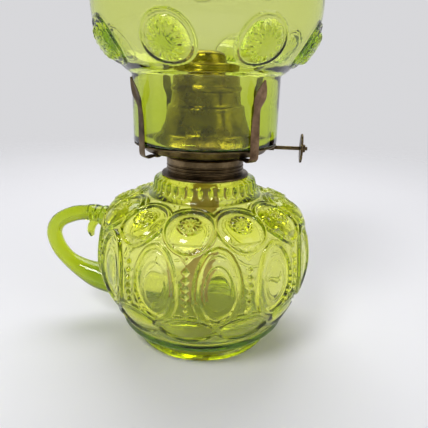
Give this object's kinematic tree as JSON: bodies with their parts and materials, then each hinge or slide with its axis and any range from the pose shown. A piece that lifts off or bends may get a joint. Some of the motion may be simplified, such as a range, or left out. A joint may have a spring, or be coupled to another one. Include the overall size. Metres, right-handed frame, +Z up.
{
  "type": "oil lamp",
  "caption": "Hand-held oil lamp: a pressed glass bowl on a foot with a finger handle, a screw-in flat wick burner with a wick knob and spring prongs, and a lift-off glass shade.",
  "frame": {"origin": "under the middle of the whole lamp, handle included, at the underside of the foot; the lamp's own axis stands at x = 17.85 mm", "axes": "+Z up, parallel to the lamp's axis, +X towards the wick knob, the handle at -X"},
  "size_m": [0.1561, 0.1204, 0.258],
  "materials": {
    "green_glass": "pressed yellow-green glass, clear and glossy",
    "aged_brass": "aged brown brass, satin, worn brighter on edges",
    "yellow_brass": "yellow brass, satin, lightly tarnished",
    "wick_cotton": "flat woven cotton, oil-stained tan",
    "plaster": "off-white plaster cement, matte"
  },
  "bodies": {
    "base": {"font": "green_glass", "handle": "green_glass", "collar": "aged_brass", "collar_cement": "plaster"},
    "burner": {"burner_skirt": "aged_brass", "base_plate": "aged_brass", "burner_pan": "aged_brass", "gallery_plate": "yellow_brass", "wick_tube": "yellow_brass", "vent_tube": "yellow_brass", "shaft_tab_left": "aged_brass", "shaft_tab_right": "aged_brass", "shaft_bush": "aged_brass", "deflector": "yellow_brass", "prong_rivet_1": "aged_brass", "prong_rivet_2": "aged_brass", "prong_rivet_3": "aged_brass", "prong_rivet_4": "aged_brass"},
    "winder": {"wick_shaft": "aged_brass", "spur_wheel_left": "aged_brass", "spur_wheel_right": "aged_brass", "knob": "aged_brass", "knob_collet": "aged_brass"},
    "wick": {"wick": "wick_cotton"},
    "shade": {"shade": "green_glass"},
    "prong_1": {"prong_1": "aged_brass"},
    "prong_2": {"prong_2": "aged_brass"},
    "prong_3": {"prong_3": "aged_brass"},
    "prong_4": {"prong_4": "aged_brass"}
  },
  "joints": [
    {"name": "burner_lift", "type": "slide", "parent": "base", "child": "burner", "axis": [0, 0, 1], "range_m": [0, 0.1]},
    {"name": "shade_lift", "type": "slide", "parent": "burner", "child": "shade", "axis": [0, 0, 1], "range_m": [0, 0.06]},
    {"name": "knob_turn", "type": "hinge", "parent": "burner", "child": "winder", "pos_m": [0.06905, 0.0042, 0.1091], "axis": [-1, 0, 0], "range_deg": [-76.4, 191]},
    {"name": "wick_raise", "type": "slide", "parent": "burner", "child": "wick", "axis": [0, 0, 1], "range_m": [-0.004, 0.01]},
    {"name": "prong_flex_1", "type": "hinge", "parent": "burner", "child": "prong_1", "pos_m": [0.03899, 0.02114, 0.1067], "axis": [-0.7071, 0.7071, 0], "range_deg": [0, 5], "stiffness_Nm_per_rad": 0.3},
    {"name": "prong_flex_2", "type": "hinge", "parent": "burner", "child": "prong_2", "pos_m": [-0.00329, 0.02114, 0.1067], "axis": [-0.7071, -0.7071, 0], "range_deg": [0, 5], "stiffness_Nm_per_rad": 0.3},
    {"name": "prong_flex_3", "type": "hinge", "parent": "burner", "child": "prong_3", "pos_m": [-0.00329, -0.02114, 0.1067], "axis": [0.7071, -0.7071, 0], "range_deg": [0, 5], "stiffness_Nm_per_rad": 0.3},
    {"name": "prong_flex_4", "type": "hinge", "parent": "burner", "child": "prong_4", "pos_m": [0.03899, -0.02114, 0.1067], "axis": [0.7071, 0.7071, 0], "range_deg": [0, 5], "stiffness_Nm_per_rad": 0.3}
  ],
  "couplings": [
    {"joint": "knob_turn", "follows": "wick_raise", "rad_per_m": 333.33}
  ]
}
